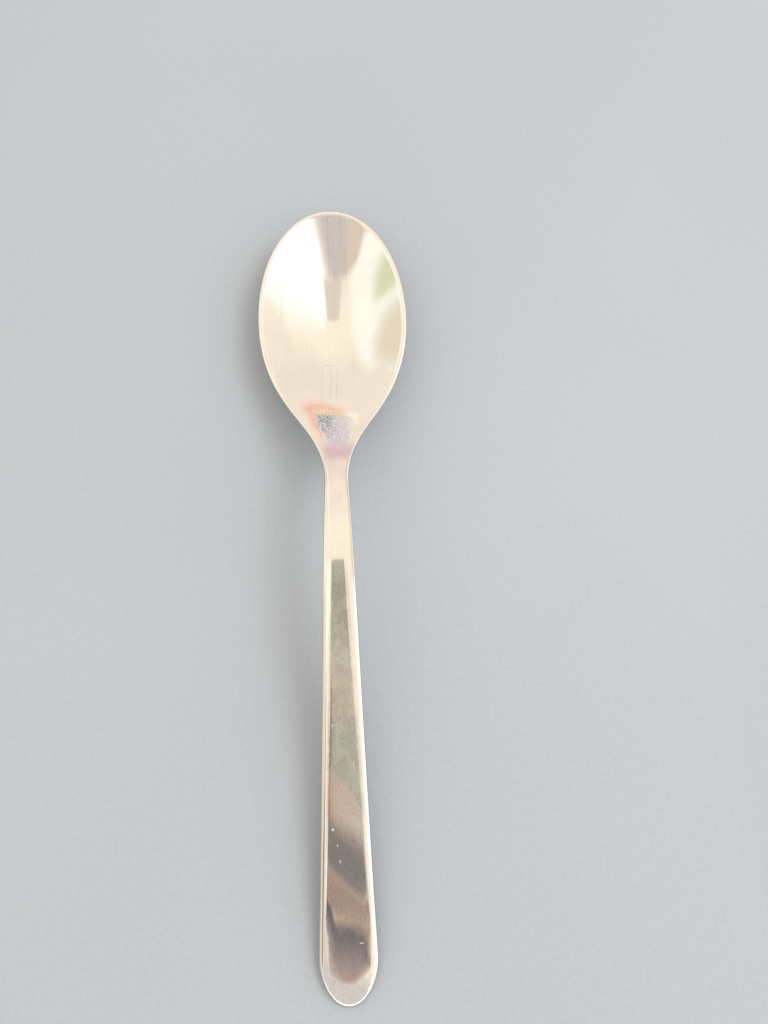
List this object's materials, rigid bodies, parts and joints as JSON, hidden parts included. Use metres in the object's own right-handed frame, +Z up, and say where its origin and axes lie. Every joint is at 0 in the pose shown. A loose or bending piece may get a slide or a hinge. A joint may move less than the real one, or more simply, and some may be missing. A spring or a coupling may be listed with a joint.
{
  "type": "tablespoon",
  "caption": "Plain polished steel tablespoon: egg-shaped bowl, narrow raised neck and a flat handle that widens to a rounded end, all one piece.",
  "frame": {"origin": "bottom centre of the box round the spoon, on the table that it lies on with its bowl open upwards", "axes": "+Y along the spoon from the handle's end to the tip of the bowl, +Z up out of the open bowl, +X to the right, across the bowl"},
  "size_m": [0.04, 0.2, 0.0237],
  "materials": {
    "polished_steel": "polished"
  },
  "bodies": {
    "root": {"spoon": "polished_steel"}
  },
  "joints": []
}
